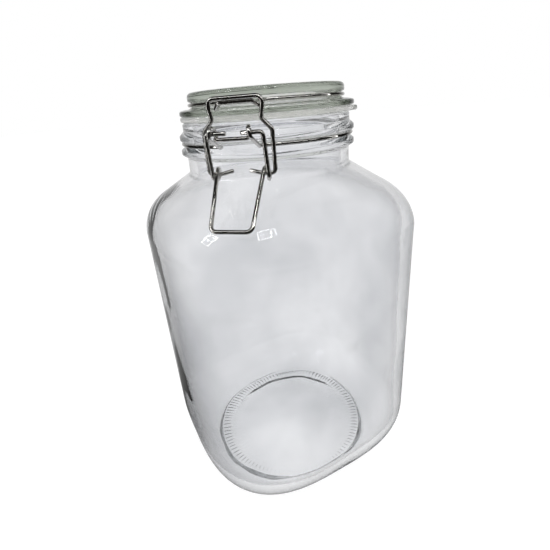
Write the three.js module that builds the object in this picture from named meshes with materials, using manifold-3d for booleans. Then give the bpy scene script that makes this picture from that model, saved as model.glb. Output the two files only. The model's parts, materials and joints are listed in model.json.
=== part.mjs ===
// A bail clamp storage jar: a rounded-square glass jar, a hinged glass lid with its rubber
// gasket, and an over-centre clamp bent from steel wire.
//
// Millimetres, +Z up. The origin is the centre of the base. The clamp faces -Y and the lid
// hinges at +Y. The jar closes like this: a neck wire lies in a groove round the neck and
// carries eyes at the front and at the back. The lid wire lies in a groove round the lid, its
// ends turn in the back eyes, and its front is a bridge that stands out past the lid. The
// lever turns in the front eyes. The bail link turns in the lever's two coils, and its top bar
// hooks over the bridge. In the plane of the clamp, "out" is the distance from the jar's axis.

import * as THREE from 'three';
import { mergeVertices } from 'three/addons/utils/BufferGeometryUtils.js';
import Module from 'manifold-3d';

const wasm = await Module();
wasm.setup();

const FULL_TURN = 2 * Math.PI;
const QUARTER_TURN = Math.PI / 2;
const EIGHTH_TURN = Math.PI / 4;
const radians = THREE.MathUtils.degToRad;

// ---- Driving dimensions ------------------------------------------------------------------

const GAP = 0.3; // what touching pieces keep between them
const GLASS_SEGMENTS = 48; // facets round the jar
const LID_SEGMENTS = 40; // facets round the lid and the gasket
const WIRE_SIDES = 8; // facets round a wire
const BEND_STEP = radians(30); // one facet of a tight bend
const GROOVE_STEP = radians(6); // one facet of a wire lying in a groove

// Jar body. Half-widths are measured to the flats; an exponent of 2 is a circle and larger
// ones are squarer.
const BODY_TURN = radians(-3.2); // the corner at the front stands a little beside the clamp
const BASE_HALF_WIDTH = 72.7;
const SHOULDER_HALF_WIDTH = 75.5;
const HEEL_RADIUS = 33.4;
const SHOULDER_RADIUS = 26.7;
const SHOULDER_TURN = radians(59.6);
const SHOULDER_HEIGHT = 163.4;
const WALL = 3.6;
const FOOT_OUTER_RADIUS = 53;
const FOOT_INNER_RADIUS = 49;
const FOOT_HEIGHT = 3;
const PUSH_UP_HEIGHT = 4.6;
const FLOOR_HEIGHT = 9;
const CIRCLE = 2;
const HEEL_START_EXPONENT = 2.9;
const HEEL_END_EXPONENT = 3.15;
const WALL_EXPONENT = 3;
const SHOULDER_END_EXPONENT = 2.57;
const NECK_BASE_HEIGHT = 198.4;
const NECK_RADIUS = 47.4;
const MOUTH_RADIUS = 43;
const RIM_RADIUS = 47.9;
const RIM_HEIGHT = 226;
const BEAD_RADIUS = 50.3;
const LOWER_BEAD_HEIGHT = 210.4;
const UPPER_BEAD_HEIGHT = 217.5;

// Wires.
const THIN_WIRE_RADIUS = 1; // neck wire and lid wire
const THICK_WIRE_RADIUS = 1.05; // lever and bail link
const EYE_CLEARANCE = 0.45; // between a pin and the eye that it turns in
const COIL_CLEARANCE = 0.6;
const NECK_WIRE_HEIGHT = 214.8;
const NECK_WIRE_RADIUS = NECK_RADIUS + GAP + THIN_WIRE_RADIUS;
const LID_WIRE_HEIGHT = 234.9;
const LID_WIRE_RADIUS = 43.4;

// Pivots and corners of the clamp, as distances out from the axis and heights.
const LEVER_PIVOT = { out: 61, height: 221.9 };
const LINK_PIVOT = { out: 54.5, height: 202.8 };
const BRIDGE = { out: 54, height: 234.8 };
const LINK_BAR = { out: 55.6, height: 236.7 };
const HANDLE_BAR = { out: 77.3, height: 181.4 };
const LID_HINGE = { out: 58.5, height: 222 };
const SIDE_PLAY = 1.3; // the lever and the link lie this far to one side in their eyes
const LID_SIDE_PLAY = 1; // and the lid this far to the same side on the rim

// Half-widths of the clamp, from its middle plane.
const EYE_OUTER_X = 9.9;
const EYE_PITCH = 2 * THIN_WIRE_RADIUS + GAP;
const ARM_KNEE_OUT = 3.2; // from where the arm leaves its groove to its knee
const LEVER_TOP_X = 13.5;
const LEVER_COIL_X = 13.8;
const COIL_PITCH = 2 * THICK_WIRE_RADIUS + GAP;
const HANDLE_X = 9.7;
const LEVER_PIN_END_X = 3.5;
const LINK_TOP_X = 13.4;
const LINK_WAIST_X = 11.6;
const LINK_FOOT_X = 16.4;
const LINK_PIN_END_X = 4.1;
const LINK_PIN_RISE = 1.5; // the pins lean up from where they leave the coils to their ends
const LINK_JOG_START = 19.6; // distances up the link from its pivot
const LINK_JOG_END = 24.7;
const BRIDGE_X = 8;
const CURL_START = 2.9; // how far in from the bridge the curl's two corners lie
const CURL_END = 4.4;
const CURL_X = 10.7;
const CURL_HEIGHT = 232.2;
const LID_WIRE_REAR_X = 13.2;
const LID_WIRE_PIN_END_X = 4.5;

// Lid and gasket.
const LID_RIM_RADIUS = 44.2;
const LID_FLANGE_RADIUS = 49.6;
const LID_TOP_HEIGHT = 241.3;
const LID_PLUG_RADIUS = 41.6;
const GASKET_OUTER_RADIUS = 49.4;
const GASKET_THICKNESS = 2.5;
const GASKET_BASE = RIM_HEIGHT + GAP;
const FLANGE_BASE = GASKET_BASE + GASKET_THICKNESS + GAP;
const TAB_ANGLE = radians(3);
const TAB_REACH = 51.2;
const TAB_WIDTH = 12;

// ---- Shapes turned or squared about the vertical axis --------------------------------------

/** Points of an arc in the (radius, height) plane; angle 0 points away from the axis. */
function arc(centreRadius, centreHeight, radius, from, to, steps) {
  return Array.from({ length: steps + 1 }, (_, i) => {
    const angle = from + ((to - from) * i) / steps;
    return [centreRadius + radius * Math.cos(angle), centreHeight + radius * Math.sin(angle)];
  });
}

/** Gives a run of points exponents that go evenly from one value to another. */
function squared(points, from, to) {
  const last = Math.max(points.length - 1, 1);
  return points.map(([radius, height], i) => [radius, height, from + ((to - from) * i) / last]);
}

/** How far out a squared section reaches at an angle from its corner, for a half-width of 1. */
function reach(angleFromCorner, exponent) {
  const angle = angleFromCorner + EIGHTH_TURN;
  const sum = Math.abs(Math.cos(angle)) ** exponent + Math.abs(Math.sin(angle)) ** exponent;
  return sum ** (-1 / exponent);
}

/**
 * A closed body of levels [half-width, height, exponent], going out, up, in and back down.
 * It is a lathe whose rings are then squared. Angle 0 is the front, -Y.
 */
function levelledBody(levels, segments, turn = 0) {
  const outline = levels.map(([radius, height]) => new THREE.Vector2(radius, height));
  const geometry = new THREE.LatheGeometry(outline, segments);
  const position = geometry.attributes.position;
  for (let i = 0; i < position.count; i += 1) {
    const [halfWidth, height, exponent = CIRCLE] = levels[i % levels.length];
    const step = Math.floor(i / levels.length) % segments;
    const angle = (step / segments) * FULL_TURN;
    const radius = halfWidth * reach(angle - turn, exponent);
    position.setXYZ(i, radius * Math.sin(angle), -radius * Math.cos(angle), height);
  }
  return withoutSeams(geometry);
}

/** The same body with its shared vertices merged and only positions left. */
function withoutSeams(geometry) {
  geometry.deleteAttribute('normal');
  geometry.deleteAttribute('uv');
  return mergeVertices(geometry);
}

function solidOf(geometry) {
  return new wasm.Manifold(
    new wasm.Mesh({
      numProp: 3,
      vertProperties: geometry.attributes.position.array,
      triVerts: geometry.index.array,
    }),
  );
}

function geometryOf(solid) {
  const { vertProperties, triVerts } = solid.getMesh();
  const geometry = new THREE.BufferGeometry();
  geometry.setAttribute('position', new THREE.BufferAttribute(vertProperties, 3));
  geometry.setIndex(new THREE.BufferAttribute(triVerts, 1));
  return geometry;
}

// ---- Bent wire -------------------------------------------------------------------------------

/** A wire's centreline as a list of stations, one for each section of its sweep. */
class WirePath extends THREE.Curve {
  constructor(stations) {
    super();
    this.stations = stations;
  }

  getUtoTmapping(u) {
    return u;
  }

  getPoint(t, target = new THREE.Vector3()) {
    const last = this.stations.length - 1;
    const start = Math.min(Math.floor(t * last), last - 1);
    return target.copy(this.stations[start]).lerp(this.stations[start + 1], t * last - start);
  }

  getTangent(t, target = new THREE.Vector3()) {
    const last = this.stations.length - 1;
    const here = Math.round(t * last);
    const before = Math.max(here - 1, 0);
    const after = Math.min(here + 1, last);
    const arriving = new THREE.Vector3().subVectors(this.stations[here], this.stations[before]);
    const leaving = new THREE.Vector3().subVectors(this.stations[after], this.stations[here]);
    return target.addVectors(arriving.normalize(), leaving.normalize()).normalize();
  }
}

/** A point that the wire runs straight to, with the radius of its bend there. */
function corner(point, bend = 0) {
  return { point, bend };
}

/** The stations of one rounded corner. */
function bendStations(before, { point, bend }, after) {
  if (bend === 0) {
    return [point];
  }
  const back = new THREE.Vector3().subVectors(before, point).normalize();
  const ahead = new THREE.Vector3().subVectors(after, point).normalize();
  const opening = back.angleTo(ahead);
  const turn = Math.PI - opening;
  const middle = new THREE.Vector3().addVectors(back, ahead).normalize();
  const centre = point.clone().addScaledVector(middle, bend / Math.sin(opening / 2));
  const start = point.clone().addScaledVector(back, bend / Math.tan(opening / 2)).sub(centre);
  const axis = new THREE.Vector3().crossVectors(ahead, back).normalize();
  const steps = Math.ceil(turn / BEND_STEP);
  return Array.from({ length: steps + 1 }, (_, i) =>
    start.clone().applyAxisAngle(axis, (turn * i) / steps).add(centre),
  );
}

/** Stations along a list of corners; the first and the last corner are the wire's ends. */
function bentStations(corners) {
  const last = corners.length - 1;
  return corners.flatMap((item, i) => {
    const atEnd = i === 0 || i === last;
    return atEnd ? [item.point] : bendStations(corners[i - 1].point, item, corners[i + 1].point);
  });
}

/** Both halves of a wire that is the same on each side of the plane x = 0. */
function mirrored(halfStations) {
  const other = halfStations.slice(1).map(({ x, y, z }) => new THREE.Vector3(-x, y, z));
  return [...other.reverse(), ...halfStations];
}

/** Both halves of a wire whose two halves don't start on the plane x = 0 but end there. */
function mirroredFromTips(halfStations) {
  return mirrored([...halfStations].reverse());
}

function wire(stations, radius) {
  const section = new THREE.Shape(
    Array.from({ length: WIRE_SIDES }, (_, i) => {
      const angle = (i / WIRE_SIDES) * FULL_TURN;
      return new THREE.Vector2(radius * Math.cos(angle), radius * Math.sin(angle));
    }),
  );
  const geometry = new THREE.ExtrudeGeometry(section, {
    steps: stations.length - 1,
    extrudePath: new WirePath(stations),
  });
  return withoutSeams(geometry);
}

/** A point of the clamp (side -1, at the front) or of the hinge (side 1, at the back). */
function clampPoint(x, out, height, side = FRONT) {
  return new THREE.Vector3(x, side * out, height);
}

const FRONT = -1;
const BACK = 1;
const CLOCKWISE = -1;

/**
 * One loop of wire round a pivot. Headings are measured from straight out towards straight up.
 * The loop goes from one heading to the other while it moves from startX to endX.
 */
function loop({ centre, radius, from, to, startX, endX, side = FRONT }) {
  const steps = Math.ceil(Math.abs(to - from) / BEND_STEP);
  const sense = Math.sign(to - from);
  return Array.from({ length: steps + 1 }, (_, i) => {
    const share = i / steps;
    const heading = from + (to - from) * share;
    const out = centre.out + sense * radius * Math.sin(heading);
    const height = centre.height - sense * radius * Math.cos(heading);
    return corner(clampPoint(startX + (endX - startX) * share, out, height, side));
  });
}

/** The heading of a straight run between a point and a loop that it meets as a tangent. */
function tangentHeading(point, centre, radius, arriving) {
  const direct = Math.atan2(centre.height - point.height, centre.out - point.out);
  const distance = Math.hypot(centre.height - point.height, centre.out - point.out);
  const offset = Math.asin(radius / distance);
  return arriving ? direct + offset : direct - Math.PI - offset;
}

/** Stations in a groove, from one angle to another, both measured from the front. */
function grooveStations(radius, height, from, to) {
  const steps = Math.round((to - from) / GROOVE_STEP);
  return Array.from({ length: steps + 1 }, (_, i) => {
    const angle = from + ((to - from) * i) / steps;
    const point = new THREE.Vector3(radius * Math.sin(angle), -radius * Math.cos(angle), height);
    return corner(point);
  });
}

/** Where a wire at x leaves its groove: how far out that is, and the angle from the middle. */
function grooveExit(x, radius) {
  return { out: Math.sqrt(radius ** 2 - x ** 2), angle: Math.asin(x / radius) };
}

// ---- The pieces --------------------------------------------------------------------------------

function jarBody() {
  const heelCentre = BASE_HALF_WIDTH - HEEL_RADIUS;
  const heelStart = Math.asin(FOOT_HEIGHT / HEEL_RADIUS - 1);
  const heel = arc(heelCentre, HEEL_RADIUS, HEEL_RADIUS, heelStart, 0, 6);
  const shoulderCentre = SHOULDER_HALF_WIDTH - SHOULDER_RADIUS;
  const shoulder = arc(shoulderCentre, SHOULDER_HEIGHT, SHOULDER_RADIUS, 0, SHOULDER_TURN, 6);

  const underside = [
    [0, PUSH_UP_HEIGHT],
    [26, 4],
    [42, 2],
    [FOOT_INNER_RADIUS, 0],
    [FOOT_OUTER_RADIUS, 0],
    [FOOT_OUTER_RADIUS + 0.4, FOOT_HEIGHT / 3],
  ];
  const neck = [
    [NECK_RADIUS + 1.4, NECK_BASE_HEIGHT - 0.4],
    [NECK_RADIUS, NECK_BASE_HEIGHT + 1.6],
    [NECK_RADIUS, LOWER_BEAD_HEIGHT - 2.9],
    [BEAD_RADIUS - 0.8, LOWER_BEAD_HEIGHT - 1.6],
    [BEAD_RADIUS, LOWER_BEAD_HEIGHT],
    [BEAD_RADIUS - 1.1, NECK_WIRE_HEIGHT - 1.5],
    [NECK_RADIUS, NECK_WIRE_HEIGHT - 1],
    [NECK_RADIUS, NECK_WIRE_HEIGHT + 1],
    [BEAD_RADIUS - 1.1, NECK_WIRE_HEIGHT + 1.5],
    [BEAD_RADIUS, UPPER_BEAD_HEIGHT],
    [BEAD_RADIUS - 1, UPPER_BEAD_HEIGHT + 2.2],
    [RIM_RADIUS, UPPER_BEAD_HEIGHT + 4.2],
    [RIM_RADIUS, RIM_HEIGHT - 1.3],
    [RIM_RADIUS - 1.4, RIM_HEIGHT],
    [MOUTH_RADIUS + 1.3, RIM_HEIGHT],
    [MOUTH_RADIUS, RIM_HEIGHT - 1.3],
  ];

  const innerShoulderRadius = SHOULDER_RADIUS - WALL;
  const innerShoulder = arc(
    shoulderCentre, SHOULDER_HEIGHT, innerShoulderRadius, SHOULDER_TURN, 0, 5,
  );
  const innerHeelRadius = HEEL_RADIUS - WALL;
  const innerHeelEnd = Math.asin((FLOOR_HEIGHT - HEEL_RADIUS) / innerHeelRadius);
  const innerHeel = arc(heelCentre, HEEL_RADIUS, innerHeelRadius, 0, innerHeelEnd, 4);
  const innerNeck = [[MOUTH_RADIUS, NECK_BASE_HEIGHT - 1]];
  const innerFloor = [
    [FOOT_INNER_RADIUS, FLOOR_HEIGHT - 1],
    [28, FLOOR_HEIGHT - 0.6],
    [0, FLOOR_HEIGHT + 0.4],
  ];

  const levels = [
    ...underside,
    ...squared(heel, HEEL_START_EXPONENT, HEEL_END_EXPONENT),
    ...squared(shoulder, WALL_EXPONENT, SHOULDER_END_EXPONENT),
    ...neck,
    ...innerNeck,
    ...squared(innerShoulder, SHOULDER_END_EXPONENT, WALL_EXPONENT),
    ...squared(innerHeel, HEEL_END_EXPONENT, HEEL_START_EXPONENT),
    ...innerFloor,
  ];
  return levelledBody(levels, GLASS_SEGMENTS, BODY_TURN);
}

function lid() {
  const grooveBottom = LID_WIRE_RADIUS - THIN_WIRE_RADIUS - GAP;
  const levels = [
    [0, 232.6],
    [22, 232.2],
    [34, 230],
    [37, 225.4],
    [38.6, 224.2],
    [LID_PLUG_RADIUS - 1.2, 224.2],
    [LID_PLUG_RADIUS, 225.4],
    [LID_PLUG_RADIUS, FLANGE_BASE - 0.6],
    [LID_PLUG_RADIUS + 0.6, FLANGE_BASE],
    [LID_FLANGE_RADIUS - 1.2, FLANGE_BASE],
    [LID_FLANGE_RADIUS - 0.1, FLANGE_BASE + 0.8],
    [LID_FLANGE_RADIUS - 0.1, FLANGE_BASE + 1.9],
    [LID_FLANGE_RADIUS - 1.1, FLANGE_BASE + 2.8],
    [46.5, 232.6],
    [LID_RIM_RADIUS - 0.4, 233.2],
    [grooveBottom, LID_WIRE_HEIGHT - 0.9],
    [grooveBottom, LID_WIRE_HEIGHT + 0.7],
    [LID_RIM_RADIUS - 0.9, LID_WIRE_HEIGHT + 1.4],
    [LID_RIM_RADIUS, LID_WIRE_HEIGHT + 2.6],
    [LID_RIM_RADIUS, LID_TOP_HEIGHT - 2.2],
    [LID_RIM_RADIUS - 1, LID_TOP_HEIGHT - 0.7],
    [LID_RIM_RADIUS - 3, LID_TOP_HEIGHT],
    [36.5, LID_TOP_HEIGHT - 0.2],
    [33.5, LID_TOP_HEIGHT - 1.6],
    [0, LID_TOP_HEIGHT - 1.9],
  ];
  return levelledBody(levels, LID_SEGMENTS);
}

/** The rubber ring on the lid's plug, with the tab that breaks its seal. */
function gasket() {
  const inner = LID_PLUG_RADIUS + 0.4;
  const top = GASKET_BASE + GASKET_THICKNESS;
  const chamfer = 0.5;
  const ring = levelledBody(
    [
      [inner, GASKET_BASE],
      [GASKET_OUTER_RADIUS - chamfer, GASKET_BASE],
      [GASKET_OUTER_RADIUS, GASKET_BASE + chamfer],
      [GASKET_OUTER_RADIUS, top - chamfer],
      [GASKET_OUTER_RADIUS - chamfer, top],
      [inner, top],
      [inner, GASKET_BASE],
    ],
    LID_SEGMENTS,
  );
  const half = TAB_WIDTH / 2;
  const root = GASKET_OUTER_RADIUS - 2.5;
  const outline = new THREE.Shape();
  outline.moveTo(root, -half);
  outline.lineTo(TAB_REACH - half / 2, -half);
  outline.quadraticCurveTo(TAB_REACH, -half, TAB_REACH, 0);
  outline.quadraticCurveTo(TAB_REACH, half, TAB_REACH - half / 2, half);
  outline.lineTo(root, half);
  const tabThickness = GASKET_THICKNESS - 2 * chamfer;
  const tab = new THREE.ExtrudeGeometry(outline, {
    depth: tabThickness,
    bevelEnabled: false,
    curveSegments: 4,
  });
  tab.rotateZ(TAB_ANGLE);
  tab.translate(0, 0, GASKET_BASE + chamfer);
  return geometryOf(solidOf(ring).add(solidOf(withoutSeams(tab))));
}

/** The neck wire's arm from its groove to an eye, and the eye's loop, from the eye inwards. */
function eyeAndArm({ centre, eyeRadius, side }) {
  const exit = grooveExit(EYE_OUTER_X, NECK_WIRE_RADIUS);
  const armKnee = { out: exit.out + ARM_KNEE_OUT, height: NECK_WIRE_HEIGHT };
  const leaving = tangentHeading(armKnee, centre, eyeRadius, false);
  const loopTurn = radians(300);
  return [
    ...loop({
      centre,
      radius: eyeRadius,
      from: leaving + loopTurn,
      to: leaving,
      startX: EYE_OUTER_X - EYE_PITCH,
      endX: EYE_OUTER_X,
      side,
    }),
    corner(clampPoint(EYE_OUTER_X, armKnee.out, armKnee.height, side), 5),
    corner(clampPoint(EYE_OUTER_X, exit.out, NECK_WIRE_HEIGHT, side), 2),
  ];
}

function neckWire() {
  const frontEyeRadius = THICK_WIRE_RADIUS + EYE_CLEARANCE + THIN_WIRE_RADIUS;
  const backEyeRadius = THIN_WIRE_RADIUS + EYE_CLEARANCE + THIN_WIRE_RADIUS;
  const bridgeHeight = LEVER_PIVOT.height - frontEyeRadius;
  const bridgeX = EYE_OUTER_X - EYE_PITCH;
  const exitAngle = grooveExit(EYE_OUTER_X, NECK_WIRE_RADIUS).angle + GROOVE_STEP;
  const half = bentStations([
    corner(clampPoint(0, LEVER_PIVOT.out, bridgeHeight)),
    corner(clampPoint(bridgeX, LEVER_PIVOT.out, bridgeHeight), 0.9),
    ...eyeAndArm({ centre: LEVER_PIVOT, eyeRadius: frontEyeRadius, side: FRONT }),
    ...grooveStations(NECK_WIRE_RADIUS, NECK_WIRE_HEIGHT, exitAngle, Math.PI - exitAngle),
    ...eyeAndArm({ centre: LID_HINGE, eyeRadius: backEyeRadius, side: BACK }).reverse(),
  ]);
  return wire(mirrored(half), THIN_WIRE_RADIUS);
}

function lidWire() {
  const height = LID_WIRE_HEIGHT;
  const frontExit = grooveExit(CURL_X, LID_WIRE_RADIUS);
  const rearExit = grooveExit(LID_WIRE_REAR_X, LID_WIRE_RADIUS);
  const half = bentStations([
    corner(clampPoint(0, BRIDGE.out, BRIDGE.height)),
    corner(clampPoint(BRIDGE_X, BRIDGE.out, BRIDGE.height), 1.3),
    corner(clampPoint(CURL_X, BRIDGE.out - CURL_START, CURL_HEIGHT), 1.3),
    corner(clampPoint(CURL_X, BRIDGE.out - CURL_END, CURL_HEIGHT), 1.2),
    corner(clampPoint(CURL_X, frontExit.out + 2.6, height), 1.8),
    corner(clampPoint(CURL_X, frontExit.out, height), 1.2),
    ...grooveStations(
      LID_WIRE_RADIUS, height,
      frontExit.angle + GROOVE_STEP, Math.PI - rearExit.angle - GROOVE_STEP,
    ),
    corner(clampPoint(LID_WIRE_REAR_X, rearExit.out, height, BACK), 1.8),
    corner(clampPoint(LID_WIRE_REAR_X, LID_HINGE.out - 5.2, height, BACK), 3),
    corner(clampPoint(LID_WIRE_REAR_X, LID_HINGE.out, LID_HINGE.height, BACK), 1.6),
    corner(clampPoint(LID_WIRE_PIN_END_X, LID_HINGE.out, LID_HINGE.height, BACK)),
  ]);
  return wire(mirrored(half), THIN_WIRE_RADIUS);
}

/** The lever: pins, legs, a coil each side round the link's pins, and the finger handle. */
function lever() {
  const coilRadius = THICK_WIRE_RADIUS + COIL_CLEARANCE + THICK_WIRE_RADIUS;
  const legHeading = tangentHeading(LEVER_PIVOT, LINK_PIVOT, coilRadius, true);
  const handleHeading = tangentHeading(HANDLE_BAR, LINK_PIVOT, coilRadius, false);
  const half = bentStations([
    corner(clampPoint(LEVER_PIN_END_X, LEVER_PIVOT.out, LEVER_PIVOT.height)),
    corner(clampPoint(LEVER_TOP_X, LEVER_PIVOT.out, LEVER_PIVOT.height), 1.8),
    ...loop({
      centre: LINK_PIVOT,
      radius: coilRadius,
      from: legHeading,
      to: handleHeading - FULL_TURN,
      startX: LEVER_COIL_X,
      endX: LEVER_COIL_X - COIL_PITCH,
    }),
    corner(clampPoint(HANDLE_X, HANDLE_BAR.out, HANDLE_BAR.height), 3),
    corner(clampPoint(0, HANDLE_BAR.out, HANDLE_BAR.height)),
  ]);
  return wire(mirroredFromTips(half), THICK_WIRE_RADIUS);
}

/** The bail link: its top bar hooks over the lid wire, and its pins turn in the coils. */
function bailLink() {
  const bottom = clampPoint(0, LINK_PIVOT.out, LINK_PIVOT.height);
  const up = clampPoint(0, LINK_BAR.out, LINK_BAR.height).sub(bottom).normalize();
  const pinBendX = LEVER_COIL_X - COIL_PITCH - THICK_WIRE_RADIUS;
  const along = (x, distance) => bottom.clone().addScaledVector(up, distance).setX(x);
  const half = bentStations([
    corner(clampPoint(0, LINK_BAR.out, LINK_BAR.height)),
    corner(clampPoint(LINK_TOP_X, LINK_BAR.out, LINK_BAR.height), 3),
    corner(along(LINK_WAIST_X, LINK_JOG_END), 2.5),
    corner(along(LINK_FOOT_X, LINK_JOG_START), 2.5),
    corner(clampPoint(LINK_FOOT_X, LINK_PIVOT.out, LINK_PIVOT.height), 2.1),
    corner(clampPoint(pinBendX, LINK_PIVOT.out, LINK_PIVOT.height), 3),
    corner(clampPoint(LINK_PIN_END_X, LINK_PIVOT.out, LINK_PIVOT.height + LINK_PIN_RISE)),
  ]);
  return wire(mirrored(half), THICK_WIRE_RADIUS);
}

// ---- Materials and assembly -----------------------------------------------------------------------

const bodyGlass = new THREE.MeshStandardMaterial({
  color: 0xdfe3e4,
  roughness: 0.04,
  metalness: 0,
  transparent: true,
  opacity: 0.35,
});
const lidGlass = new THREE.MeshStandardMaterial({
  color: 0xbcc7bf,
  roughness: 0.05,
  metalness: 0,
  transparent: true,
  opacity: 0.45,
});
const clearRubber = new THREE.MeshStandardMaterial({ color: 0xd9dad4, roughness: 0.45 });
const brightWire = new THREE.MeshStandardMaterial({ color: 0xb9b9bb, roughness: 0.14, metalness: 1 });

function piece(name, geometry, material) {
  const mesh = new THREE.Mesh(geometry, material);
  mesh.name = name;
  return mesh;
}

function group(...members) {
  const made = new THREE.Group();
  made.add(...members);
  return made;
}

const jarAssembly = group(
  piece('jar_body', jarBody(), bodyGlass),
  piece('neck_wire', neckWire(), brightWire),
);
const lidAssembly = group(
  piece('lid', lid(), lidGlass),
  piece('gasket', gasket(), clearRubber),
  piece('lid_wire', lidWire(), brightWire),
);
const clampAssembly = group(
  piece('lever', lever(), brightWire),
  piece('bail_link', bailLink(), brightWire),
);
lidAssembly.position.x = LID_SIDE_PLAY;
clampAssembly.position.x = SIDE_PLAY;

export default group(jarAssembly, lidAssembly, clampAssembly);
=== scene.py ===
"""The looks of a bail clamp storage jar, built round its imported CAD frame.

Every CAD node is replaced by a finer piece: the jar and the lid are pressed glass with their
fillets, stippled foot and slightly uneven inner walls, the gasket is a soft ring drawn out into
a pull tab, and the wires are round, with smooth bends and cut ends. The frame gives the pivots,
the top heights and the reaches; the other sizes are in millimetres, from the middle of the base.
"""

import json
import math

import bpy
from mathutils import Matrix, Vector, noise


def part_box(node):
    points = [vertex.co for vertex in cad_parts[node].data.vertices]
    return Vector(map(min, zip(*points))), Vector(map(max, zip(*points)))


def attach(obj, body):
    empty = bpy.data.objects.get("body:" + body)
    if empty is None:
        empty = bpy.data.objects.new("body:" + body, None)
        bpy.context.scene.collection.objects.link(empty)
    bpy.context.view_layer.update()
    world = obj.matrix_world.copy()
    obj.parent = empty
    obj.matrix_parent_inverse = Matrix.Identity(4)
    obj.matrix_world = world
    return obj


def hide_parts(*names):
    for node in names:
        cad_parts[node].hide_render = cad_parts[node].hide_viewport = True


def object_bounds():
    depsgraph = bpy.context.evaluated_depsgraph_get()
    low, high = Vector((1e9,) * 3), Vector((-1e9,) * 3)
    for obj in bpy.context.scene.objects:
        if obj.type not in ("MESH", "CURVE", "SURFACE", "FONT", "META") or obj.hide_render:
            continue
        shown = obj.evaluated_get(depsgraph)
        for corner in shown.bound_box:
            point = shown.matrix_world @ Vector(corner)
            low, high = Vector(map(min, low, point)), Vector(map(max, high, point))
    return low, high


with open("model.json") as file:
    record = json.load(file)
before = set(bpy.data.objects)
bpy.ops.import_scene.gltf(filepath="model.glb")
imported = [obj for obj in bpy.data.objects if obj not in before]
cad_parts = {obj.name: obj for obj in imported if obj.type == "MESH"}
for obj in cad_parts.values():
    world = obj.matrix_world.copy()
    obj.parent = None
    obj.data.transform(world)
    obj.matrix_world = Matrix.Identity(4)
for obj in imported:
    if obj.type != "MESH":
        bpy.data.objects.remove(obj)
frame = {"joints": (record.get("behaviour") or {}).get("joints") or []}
cad_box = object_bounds()

MM = 0.001
FULL_TURN = 2 * math.pi
FRONT = -1
BACK = 1

# ---- Sizes, in millimetres -----------------------------------------------------------------------

GAP = 0.3
PROFILE_STEP = math.radians(15)

# Jar body; half-widths are to the flats and an exponent of 2 is a circle.
BODY_TURN = math.radians(-3.2)
GLASS_SEGMENTS = 144
STIPPLE_SPLIT = 3
STIPPLE_COUNT = 108
STIPPLE_DEPTH = 0.7
STIPPLE_START_RADIUS = 48
STIPPLE_END_RADIUS = 52
BASE_HALF_WIDTH = 72.7
SHOULDER_HALF_WIDTH = 75.5
HEEL_RADIUS = 33.4
SHOULDER_RADIUS = 26.7
SHOULDER_TURN = math.radians(59.6)
SHOULDER_HEIGHT = 163.4
WALL = 3.6
FOOT_OUTER_RADIUS = 53
FOOT_INNER_RADIUS = 46.5
FOOT_STEP_RADIUS = 45
FOOT_HEIGHT = 3
FOOT_BEVEL = 0.35
FOOT_FLARE = 0.5
PUSH_UP_HEIGHT = 4.6
PUSH_UP_FALL = 3.95
UNDERSIDE_STEP = 5
FLOOR_HEIGHT = 9
FLOOR_RADIUS = 49
FLOOR_STEP = 4
FLOOR_DIP = 0.9
FLOOR_SWELL = 0.8
FLOOR_SWELL_LENGTH = 9
CIRCLE = 2
HEEL_START_EXPONENT = 2.9
HEEL_END_EXPONENT = 3.15
WALL_EXPONENT = 3
INNER_EXPONENT = 2.82
SHOULDER_END_EXPONENT = 2.57
EXPONENT_STEP = 0.1
HEEL_STEPS = 18
SIDE_STEPS = 14
SHOULDER_STEPS = 16
CONE_STEPS = 5
INNER_HEEL_STEPS = 16
INNER_SIDE_STEPS = 24
INNER_SHOULDER_STEPS = 14
INNER_WAVE = 0.35
INNER_WAVE_LENGTH = 34
FLOOR_WAVE = 1.2
FLOOR_WAVE_LENGTH = 15

# The jar's neck; a bead's start, bottom, top and end are measured from its middle.
NECK_BASE_HEIGHT = 198.4
NECK_RADIUS = 47.4
NECK_WIRE_DROP = 11.2
NECK_GROOVE_HALF_HEIGHT = 1.3
MOUTH_RADIUS = 43
THROAT_RISE = 4
THROAT_DROP = 1.8
THROAT_BEND = 5
RIM_RADIUS = 47.9
RIM_BEND = 1.5
BEAD_RADIUS = 50.3
BEAD_BEND = 1
LOWER_BEAD_DROP = 15.6
LOWER_BEAD_START = 3
LOWER_BEAD_BOTTOM = 1.3
LOWER_BEAD_TOP = 1.1
UPPER_BEAD_DROP = 8.5
UPPER_BEAD_BOTTOM = 1.2
UPPER_BEAD_TOP = 1.6
UPPER_BEAD_END = 4

# Wires.
THIN_WIRE_RADIUS = 1
THICK_WIRE_RADIUS = 1.05
NECK_WIRE_RADIUS = NECK_RADIUS + GAP + THIN_WIRE_RADIUS
WIRE_SIDES = 20
CUT_EDGE_SHARE = 0.25
SHORTEST_STEP = GAP / 10
BEND_STEP = math.radians(10)
GROOVE_STEP = math.radians(3)
EYE_CLEARANCE = 0.45
EYE_WRAP = math.radians(300)
ARM_KNEE_OUT = 3.2
ARM_KNEE_BEND = 5
COIL_CLEARANCE = 0.6
LID_WIRE_RADIUS = 43.4
LID_WIRE_DROP = 6.4
BRIDGE_OUT = 54
BRIDGE_DROP = 6.5
SIDE_PLAY = 1.3
EYE_OUTER_X = 9.9
LEVER_TOP_X = 13.5
LEVER_COIL_X = 13.8
HANDLE_X = 9.7
LEVER_PIN_END_X = 3.5
LINK_TOP_X = 13.4
LINK_WAIST_X = 11.6
LINK_FOOT_X = 16.4
LINK_PIN_END_X = 4.1
LINK_PIN_RISE = 1.5
LINK_JOG_START = 19.6
LINK_JOG_END = 24.7
LINK_JOG_BEND = 2.5
BAR_BEND = 3
BRIDGE_X = 8
CURL_X = 10.7
CURL_DROP = 9.1
CURL_START = 2.9
CURL_END = 4.4
CURL_BEND = 1.3
ARM_START = 2.6
HINGE_KNEE_IN = 5.2
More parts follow.
